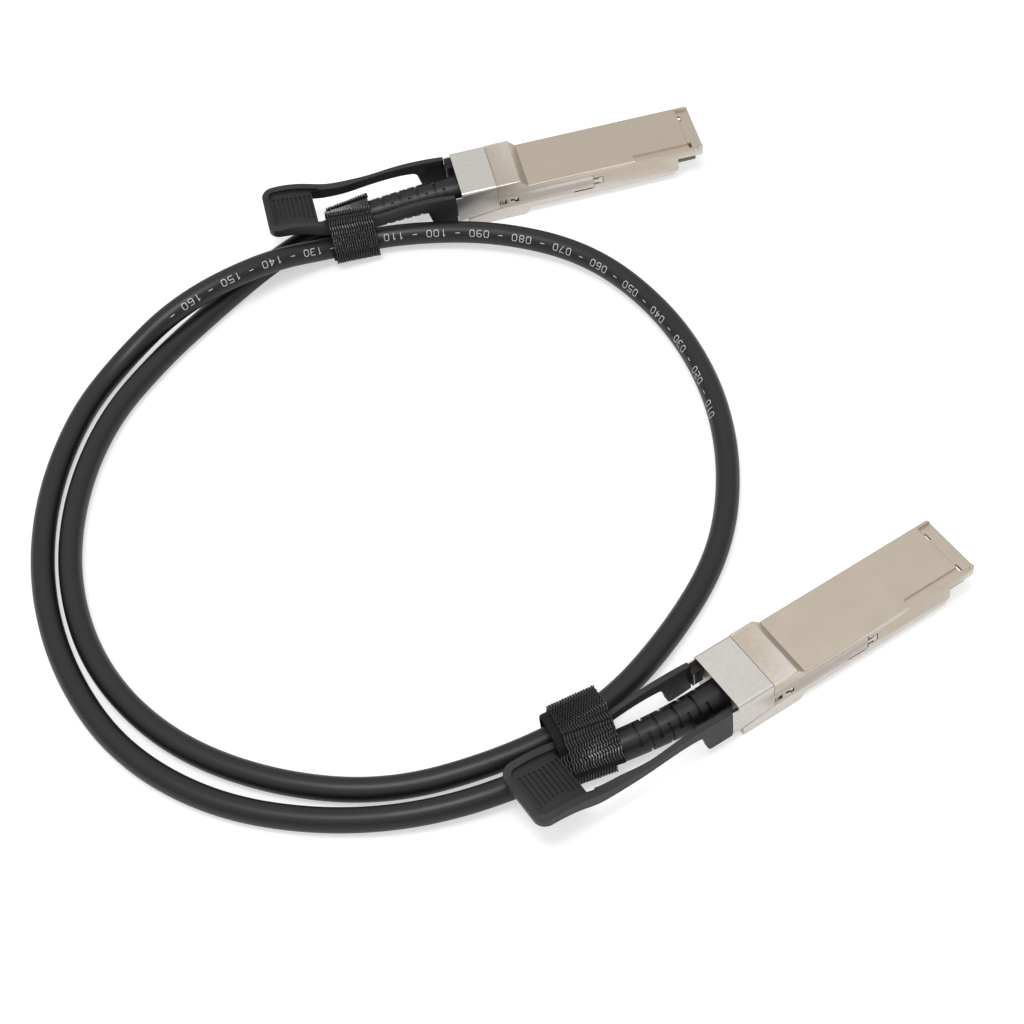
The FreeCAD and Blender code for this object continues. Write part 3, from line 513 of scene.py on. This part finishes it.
class Wrap:
    # one strap's loop: the belt outline at both edges, and points on its spiral
    def __init__(self, key):
        values = straps[key]
        self.turns, self.begin, self.drift = values["turns"], values["begin"], values["drift"]
        self.frame = (places[key] @ Matrix.Translation((values["middleX"], 0, 0))
                      @ Matrix.Rotation(math.radians(values["turnDegrees"]), 4, "Z"))
        self.half = straps["width"] / 2
        self.outlines, lengths = [], []
        for end in (-1, 1):
            outline, length = beltOutline(self.circles(key, values, end), straps["stations"])
            self.outlines.append(outline)
            lengths.append(length)
        self.turnLength = sum(lengths) / 2

    def circles(self, key, values, end):
        across, side = end * self.half, values["side"]
        back = self.frame.inverted()
        local = [back @ p for p in axisPoints]
        found = []
        for p, q in zip(local, local[1:]):
            if (p.x - across) * (q.x - across) <= 0 and abs(p.y) < straps["reach"]:
                found.append(p.lerp(q, (across - p.x) / (q.x - p.x)))
        found.sort(key=lambda p: abs(p.y))
        own = found[0]
        beside = next(p for p in found[1:] if (p.y - own.y) * side > straps["apart"])
        extra, lift = values["loose"]
        around = straps["besideRadius"]
        rings = [(own.y, own.z, straps["boundRadii"][end > 0]),
                 (beside.y, beside.z, around),
                 (beside.y + side * extra * (0.5 - 0.5 * end), beside.z + lift * (1 - end), around)]
        onArm = ((straps["armOuter"], values["bulge"]),
                 (straps["armWidth"] - straps["armInner"], straps["armCorner"]))
        for width, corner in onArm:
            y = side * (straps["armHalfWidth"] - width)
            x = values["middleX"] + across
            for _ in range(4):    # settles on the strap's edge, which lies askew to the plug
                spot = back @ (places[key] @ Vector((x, y, 0)))
                x += across - spot.x
            rings.append((spot.y, stepped(straps["armTops"], x) + straps["overArm"] - corner, corner))
        return rings

    def place(self, turn, across, lift):
        # a point a number of turns along the spiral, in the strap's frame
        count = straps["stations"]
        at = ((self.begin + turn) % 1.0) * count
        i, share = int(at) % count, at % 1.0
        ends = []
        for outline in self.outlines:
            p, q, after = outline[i], outline[(i + 1) % count], outline[(i + 2) % count]
            before = outline[(i - 1) % count]
            ahead = mix(q - before, after - p, share).normalized()
            out = Vector((ahead.y, -ahead.x))
            # the turns are pressed flat where the cable's weight lies on them
            down = (-out.y - straps["pressedFrom"]) / straps["pressedSpan"]
            pressed = 1 - straps["pressed"] * max(0.0, min(1.0, down))
            ends.append(mix(p, q, share) + out * (turn * straps["turnGrowth"] + lift) * pressed)
        x = across + self.drift * (1 - turn / self.turns)
        spot = mix(ends[0], ends[1], x / (2 * self.half) + 0.5)
        return Vector((x, spot.x, spot.y))


def addStrap(key):
    # a sheet with two faces and thinner selvages, wound round the cables
    wrap = Wrap(key)
    rows = int(wrap.turns * straps["stations"])
    columns, selvage = straps["columns"], straps["selvage"]
    thick = straps["thickness"]
    verts, flatPlaces = [], []
    for layer in (-1, 1):
        for row in range(rows + 1):
            turn = wrap.turns * row / rows
            for column, part in zip(columns, selvage):
                lift = thick / 2 + layer * part * thick / 2
                verts.append(wrap.place(turn, column * wrap.half, lift))
                flatPlaces.append((column * wrap.half, turn * wrap.turnLength, 0.0))
    wide, sheet = len(columns), (rows + 1) * len(columns)
    faces = []
    for row in range(rows):
        for c in range(wide - 1):
            a = row * wide + c
            faces.append((a, a + 1, a + wide + 1, a + wide))
            faces.append((sheet + a, sheet + a + wide, sheet + a + wide + 1, sheet + a + 1))
    for row in range(rows):
        for a, flip in ((row * wide, 1), (row * wide + wide - 1, 0)):
            edge = (a, a + wide, sheet + a + wide, sheet + a)
            faces.append(edge if flip else edge[::-1])
    for a, flip in ((0, 0), (rows * wide, 1)):
        for c in range(wide - 1):
            end = (a + c, a + c + 1, sheet + a + c + 1, sheet + a + c)
            faces.append(end[::-1] if flip else end)
    piece = meshObject("strapCloth_" + key, verts, faces, strapMaterial)
    cloth = piece.data.attributes.new("clothPlace", "FLOAT_VECTOR", "POINT")
    for i, spot in enumerate(flatPlaces):
        cloth.data[i].vector = spot
    piece.matrix_world = wrap.frame
    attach(piece, "assembly_body")
    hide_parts("strap_" + key)
    hooks = addHooks(key, wrap)


hookShape = {
    # along the strap, across it and out of it, for one woven hook, in millimetres
    "path": [(-0.05, -0.17, -0.04), (0.20, -0.13, 0.09), (0.58, 0.0, 0.25), (0.96, 0.15, 0.40),
             (1.12, 0.18, 0.02)],
    "section": [(-0.18, -0.02), (-0.14, 0.05), (0.14, 0.05), (0.18, -0.02)],
    "columns": 18,
    "rowStep": 1.08,
    "turns": 1.12,
}


def addHooks(key, wrap):
    # woven hooks as flat threads that zigzag along the strap's outer turn
    rng = random.Random(7)
    values = hookShape
    first = max(0.0, wrap.turns - values["turns"])
    rows = int((wrap.turns - first) * wrap.turnLength / (values["rowStep"] * mm))
    pitch = 2 * wrap.half / values["columns"]
    verts, faces = [], []
    wide = len(values["section"])
    for row in range(rows):
        turn = first + row * values["rowStep"] * mm / wrap.turnLength
        lean = 1 if row % 2 else -1
        for column in range(values["columns"]):
            across = (column - values["columns"] / 2 + 0.5) * pitch
            size = 1 + rng.uniform(-0.15, 0.15)
            shift = rng.uniform(-0.03, 0.03)
            start = len(verts)
            for along, aside, out in values["path"]:
                at = turn + along * mm / wrap.turnLength
                for w, lift in values["section"]:
                    spot = across + (aside * lean + shift + w * size) * mm
                    verts.append(wrap.place(at, spot, straps["thickness"] + (out * size + lift) * mm))
            steps = len(values["path"]) - 1
            for i in range(steps):
                for k in range(wide):
                    c, d = start + i * wide + k, start + i * wide + (k + 1) % wide
                    faces.append((c, d, d + wide, c + wide))
            faces.append(tuple(start + k for k in range(wide))[::-1])
            faces.append(tuple(start + steps * wide + k for k in range(wide)))
    piece = meshObject("strapHooks_" + key, verts, faces, hookMaterial, False)
    bm = bmesh.new()
    bm.from_mesh(piece.data)
    bmesh.ops.recalc_face_normals(bm, faces=bm.faces)
    bm.to_mesh(piece.data)
    bm.free()
    piece.matrix_world = wrap.frame
    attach(piece, "assembly_body")
    return piece


def buildWeave():
    # over-and-under threads on the cloth's own flat place
    group, given, made = newGroup("strapWeave", [("Pitch", "NodeSocketFloat", 0.6)],
                                  [("Height", "NodeSocketFloat"), ("Shade", "NodeSocketFloat")])
    spot = addNode(group, "ShaderNodeAttribute", {"attribute_name": "clothPlace"}).outputs["Vector"]
    parts = addNode(group, "ShaderNodeSeparateXYZ", None, Vector=spot)
    turn = mathNode(group, "DIVIDE", math.pi / mm, given.outputs["Pitch"])
    waves = []
    for axis in ("X", "Y"):
        wave = mathNode(group, "SINE", mathNode(group, "MULTIPLY", parts.outputs[axis], turn))
        waves.append(wave)
    crossed = mathNode(group, "MULTIPLY", waves[0], waves[1])
    height = mathNode(group, "MULTIPLY_ADD", crossed, 0.5)
    group.nodes[height.node.name].inputs[2].default_value = 0.5
    fuzz = addNode(group, "ShaderNodeTexNoise", None, Vector=spot, Scale=4000.0, Detail=2.0).outputs[0]
    shade = mathNode(group, "MULTIPLY", height, mathNode(group, "ADD", fuzz, 0.5))
    group.links.new(height, made.inputs["Height"])
    group.links.new(shade, made.inputs["Shade"])
    return group


weaveGroup = buildWeave()
clothLook = {"colour": (0.0035, 0.0035, 0.0035), "light": (0.011, 0.011, 0.010), "roughness": 0.70,
             "glossFrom": -0.1, "glossSpread": 0.3, "bump": 0.9, "relief": 0.00015, "pitch": 0.62,
             "specular": 0.2}
hookLook = {"colour": (0.006, 0.006, 0.0055), "light": (0.018, 0.018, 0.017), "roughness": 0.30,
            "glossFrom": -0.1, "glossSpread": 0.2, "bump": 0.1, "relief": 0.00005, "patches": 700.0,
            "specular": 0.75}


def makeClothMaterial(values):
    material, tree, shader = newMaterial("strapCloth", values)
    weave = addGroup(tree, weaveGroup, Pitch=values["pitch"])
    tone = addNode(tree, "ShaderNodeMix", {"data_type": "RGBA"}, n0=weave.outputs["Shade"],
                   n6=(*values["colour"], 1), n7=(*values["light"], 1))
    tree.links.new(tone.outputs[2], shader.inputs["Base Color"])
    gloss = mathNode(tree, "MULTIPLY", weave.outputs["Shade"], values["glossSpread"])
    gloss = mathNode(tree, "ADD", gloss, values["roughness"] + values["glossFrom"])
    tree.links.new(gloss, shader.inputs["Roughness"])
    bump = addNode(tree, "ShaderNodeBump", None, Height=weave.outputs["Height"],
                   Strength=values["bump"], Distance=values["relief"])
    tree.links.new(bump.outputs[0], shader.inputs["Normal"])
    return material


def makeHookMaterial(values):
    material, tree, shader = newMaterial("strapHooks", values)
    spot = addNode(tree, "ShaderNodeTexCoord").outputs["Object"]
    patches = addNode(tree, "ShaderNodeTexNoise", None, Vector=spot, Scale=values["patches"],
                      Detail=2.0).outputs[0]
    tone = addNode(tree, "ShaderNodeMix", {"data_type": "RGBA"}, n0=patches,
                   n6=(*values["colour"], 1), n7=(*values["light"], 1))
    tree.links.new(tone.outputs[2], shader.inputs["Base Color"])
    gloss = mathNode(tree, "MULTIPLY_ADD", patches, values["glossSpread"])
    gloss.node.inputs[2].default_value = values["roughness"] + values["glossFrom"]
    tree.links.new(gloss, shader.inputs["Roughness"])
    bump = addNode(tree, "ShaderNodeBump", None, Height=patches, Strength=values["bump"],
                   Distance=values["relief"])
    tree.links.new(bump.outputs[0], shader.inputs["Normal"])
    return material


strapMaterial = makeClothMaterial(clothLook)
hookMaterial = makeHookMaterial(hookLook)
for key in "ab":
    addStrap(key)


# places in the plug's own frame
spring = {
    "rear": 0.0050, "front": 0.0110,        # along the plug
    "offset": 0.007445, "height": 0.0065,
    "radius": 0.00075, "wire": 0.00013,
    "turns": 7, "steps": 20,                # steps round one turn
    "closedTurns": 0.7, "closedPitch": 0.7,
    "corners": 8,
    "travel": 0.0018,
}


def springPoint(values, share):
    # closed at both ends, open in between
    turns = values["turns"]
    angle = 2 * math.pi * turns * share
    closed = values["closedTurns"]
    opened = max(0.0, min(1.0, (share * turns - closed) / (turns - 2 * closed)))
    pitch = values["wire"] * values["closedPitch"]
    x = mix(values["rear"] + values["wire"] + pitch * min(1.0, share * turns),
            values["front"] - values["wire"] - pitch * min(1.0, (1 - share) * turns), opened)
    y = math.cos(angle) * values["radius"]
    return Vector((x, y, values["height"] + math.sin(angle) * values["radius"]))


def addSprings(key, values):
    verts, faces = [], []
    steps = values["turns"] * values["steps"]
    for side in (-1, 1):
        spine = [springPoint(values, i / steps) for i in range(steps + 1)]
        first = len(verts)
        for i, p in enumerate(spine):
            ahead = (spine[min(i + 1, steps)] - spine[max(i - 1, 0)]).normalized()
            out = Vector((0, p.y, p.z - values["height"])).normalized()
            across = ahead.cross(out)
            for k in range(values["corners"]):
                angle = 2 * math.pi * k / values["corners"]
                ring = p + (out * math.cos(angle) + across * math.sin(angle)) * values["wire"]
                verts.append(ring + Vector((0, side * values["offset"], 0)))
        n = values["corners"]
        for i in range(steps):
            for k in range(n):
                c, d = first + i * n + k, first + i * n + (k + 1) % n
                faces.append((c, c + n, d + n, d))
        faces.append(tuple(first + k for k in range(n)))
        faces.append(tuple(first + steps * n + k for k in range(n))[::-1])
    piece = meshObject("coilSprings_" + key, verts, faces, materials["screwSteel"])
    piece.matrix_world = places[key]
    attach(piece, "assembly_body")
    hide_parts("return_springs_" + key)
    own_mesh(piece)


for key in "ab":
    addSprings(key, spring)
print("springs wound")


# nodes that keep their shape
nodeFinish = {
    "upper_shell": "platedCasting", "lower_shell": "platedCasting", "shell_screws": "screwSteel",
    "latch_slider": "stainlessSheet", "pull_tab": "tabBlack",
    "paddle_card": "boardGreen", "contact_pads": "goldPlate", "memory_chip": "chipBlack",
    "twinax_pairs": "wireFilm", "wire_potting": "pottingResin", "crimp_ferrule": "ferruleBrass",
    "strain_relief_boot": "bootBlack",
}


def dressNode(name, finish):
    node = frame["nodes"][name]
    node.data.materials.clear()
    node.data.materials.append(materials[finish])


for base, finish in nodeFinish.items():
    for key in "ab":
        dressNode(base + "_" + key, finish)
print("shells, sliders, tabs and boots dressed")


studio = {
    "floorSize": 6.0, "floorDrop": 0.00002, "floorColour": (0.62, 0.62, 0.62),
    "lift": 0.52, "mirrored": 0.55,         # the floor's own light, to the eye and in reflections
    "horizon": 0.42, "zenith": 0.88, "fade": (0.05, 0.80),
    "softboxAbove": {"place": (-0.15, -0.21, 1.12), "aim": (-0.04, 0.0, 0.0), "size": (0.50, 0.32),
                     "power": 5.0},
}


def addFloor(values):
    mesh = bpy.data.meshes.new("floor")
    half = values["floorSize"] / 2
    corners = [(-half, -half, 0), (half, -half, 0), (half, half, 0), (-half, half, 0)]
    mesh.from_pydata(corners, [], [(0, 1, 2, 3)])
    floor = bpy.data.objects.new("floor", mesh)
    floor.location.z = -values["floorDrop"]
    bpy.context.scene.collection.objects.link(floor)
    material = bpy.data.materials.new("floorWhite")
    material.use_nodes = True
    tree = material.node_tree
    tree.nodes.clear()
    out = tree.nodes.new("ShaderNodeOutputMaterial")
    paper = addNode(tree, "ShaderNodeBsdfDiffuse", None, Color=(*values["floorColour"], 1))
    seen = addNode(tree, "ShaderNodeLightPath")
    mirrored = mathNode(tree, "MULTIPLY", seen.outputs["Is Glossy Ray"], values["mirrored"])
    direct = mathNode(tree, "MAXIMUM", seen.outputs["Is Camera Ray"], mirrored)
    direct = mathNode(tree, "MAXIMUM", direct, seen.outputs["Is Transmission Ray"])
    lift = mathNode(tree, "MULTIPLY", direct, values["lift"])
    glow = addNode(tree, "ShaderNodeEmission", None, Strength=lift)
    both = addNode(tree, "ShaderNodeAddShader", None, n0=paper.outputs[0], n1=glow.outputs[0])
    tree.links.new(both.outputs[0], out.inputs[0])
    mesh.materials.append(material)


def addWorld(values):
    world = bpy.data.worlds.new("studio")
    bpy.context.scene.world = world
    world.use_nodes = True
    tree = world.node_tree
    background = tree.nodes["Background"]
    seen = addNode(tree, "ShaderNodeLightPath")
    direct = mathNode(tree, "MAXIMUM", seen.outputs["Is Camera Ray"], seen.outputs["Is Transmission Ray"])
    spot = addNode(tree, "ShaderNodeTexCoord").outputs["Generated"]
    height = addNode(tree, "ShaderNodeSeparateXYZ", None, Vector=spot).outputs["Z"]
    sky = addNode(tree, "ShaderNodeMapRange", {"interpolation_type": "SMOOTHSTEP"}, Value=height)
    sky.inputs["From Min"].default_value, sky.inputs["From Max"].default_value = values["fade"]
    sky.inputs["To Min"].default_value = values["horizon"]
    sky.inputs["To Max"].default_value = values["zenith"]
    strength = mathNode(tree, "MAXIMUM", direct, sky.outputs[0])
    tree.links.new(strength, background.inputs["Strength"])
    background.inputs["Color"].default_value = (1, 1, 1, 1)


def addLamp(name, values):
    data = bpy.data.lights.new(name, "AREA")
    data.shape = "RECTANGLE"
    data.size, data.size_y = values["size"]
    data.energy = values["power"]
    lamp = bpy.data.objects.new(name, data)
    lamp.location = values["place"]
    aim = Vector(values["aim"]) - Vector(values["place"])
    lamp.rotation_euler = aim.to_track_quat("-Z", "Y").to_euler()
    bpy.context.scene.collection.objects.link(lamp)


addFloor(studio)
addWorld(studio)
addLamp("softboxAbove", studio["softboxAbove"])
bpy.context.scene.view_settings.view_transform = "Standard"
print("studio set")
